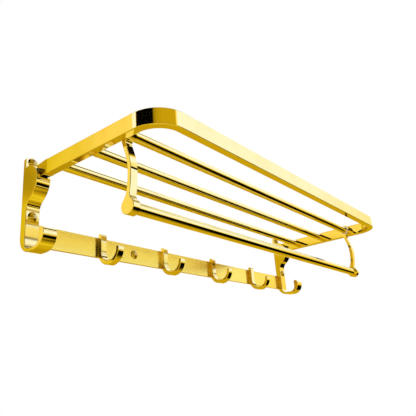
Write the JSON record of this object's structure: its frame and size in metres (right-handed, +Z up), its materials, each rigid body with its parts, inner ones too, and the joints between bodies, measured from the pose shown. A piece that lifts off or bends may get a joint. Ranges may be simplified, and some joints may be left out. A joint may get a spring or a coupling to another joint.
{
  "type": "towel rack",
  "caption": "Wall-mounted folding towel rack: rod shelf in a flat U frame, swinging towel bar below its front rod, and a rail of robe hooks between two hinged brackets.",
  "frame": {"origin": "centre of the four bracket screw holes, on the wall plane", "axes": "+X along the wall to the right for someone facing it, +Y into the wall, +Z up"},
  "size_m": [0.6086, 0.2245, 0.1247],
  "materials": {
    "gold_cast": "polished gold colour plating over cast metal",
    "gold_tube": "polished gold colour plating over drawn tube",
    "gold_strip": "polished gold colour plating over flat strip",
    "gold_cap": "polished gold colour plating over a pressed cap",
    "pin_steel": "dark turned steel",
    "screw_steel": "plain zinc-plated steel",
    "nylon": "moulded natural nylon"
  },
  "bodies": {
    "wall_part": {"left_bracket": "gold_cast", "right_bracket": "gold_cast", "hook_rail": "gold_strip", "hook_1": "gold_cast", "hook_2": "gold_cast", "hook_3": "gold_cast", "hook_4": "gold_cast", "hook_screws": "screw_steel", "rail_end_screws": "screw_steel", "bracket_screw_caps": "gold_cap", "rail_screw_cap": "gold_cap", "left_pivot_pin": "pin_steel", "right_pivot_pin": "pin_steel", "left_hinge_washers": "nylon", "right_hinge_washers": "nylon"},
    "shelf": {"shelf_frame": "gold_tube", "left_knuckle": "gold_cast", "right_knuckle": "gold_cast", "left_stop_pin": "pin_steel", "right_stop_pin": "pin_steel", "rear_rod": "gold_tube", "middle_rod": "gold_tube", "front_rod": "gold_tube"},
    "towel_swing": {"towel_bar": "gold_tube", "left_arm": "gold_cast", "right_arm": "gold_cast", "left_arm_bush": "nylon", "right_arm_bush": "nylon", "arm_set_screws": "pin_steel"}
  },
  "joints": [
    {"name": "shelf_fold", "type": "hinge", "parent": "wall_part", "child": "shelf", "pos_m": [0, -0.0145, 0.0186], "axis": [-1, 0, 0], "range_deg": [0, 78]},
    {"name": "towel_bar_swing", "type": "hinge", "parent": "shelf", "child": "towel_swing", "pos_m": [0, -0.165, 0.0186], "axis": [1, 0, 0], "range_deg": [-50, 80]}
  ]
}
